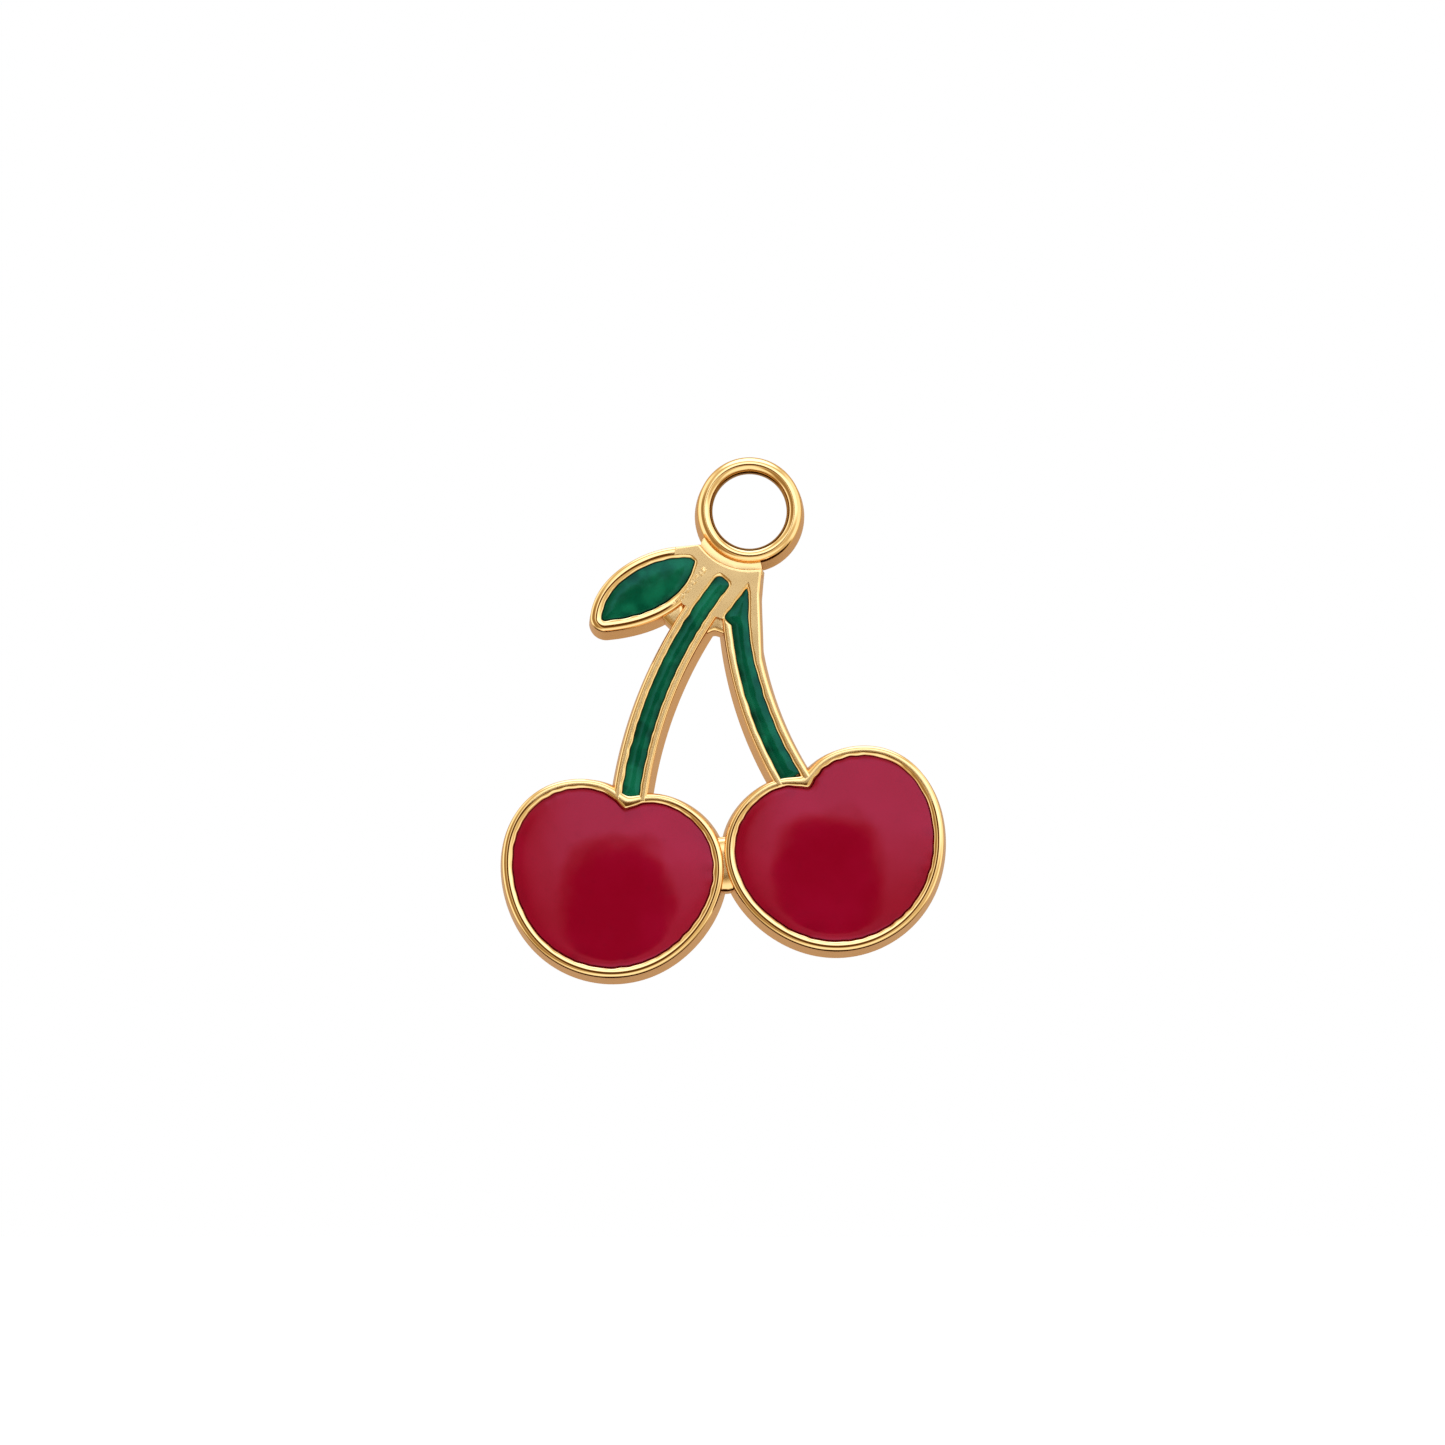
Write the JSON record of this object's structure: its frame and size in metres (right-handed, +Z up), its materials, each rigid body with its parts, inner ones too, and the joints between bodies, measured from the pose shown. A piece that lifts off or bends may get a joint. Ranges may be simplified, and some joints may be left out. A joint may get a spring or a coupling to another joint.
{
  "type": "enamelled cherry charm",
  "caption": "Flat gold-tone metal charm shaped as cherries on stalks with a leaf, enamel-filled cells and a round hanging eye at the top.",
  "frame": {"origin": "centre of the hanging eye, half way through the casting's thickness", "axes": "+Z up as the charm hangs, +Y towards the flat back, so the enamelled front faces -Y, +X to the right seen from the front"},
  "size_m": [0.0204, 0.0024, 0.0241],
  "materials": {
    "gold_plate": "polished gold plating on cast alloy",
    "green_enamel": "glossy dark green enamel",
    "red_enamel": "glossy deep red enamel, slightly domed"
  },
  "bodies": {
    "root": {"cast_frame": "gold_plate", "leaf_enamel": "green_enamel", "left_stalk_enamel": "green_enamel", "right_stalk_enamel": "green_enamel", "left_cherry_enamel": "red_enamel", "right_cherry_enamel": "red_enamel"}
  },
  "joints": []
}
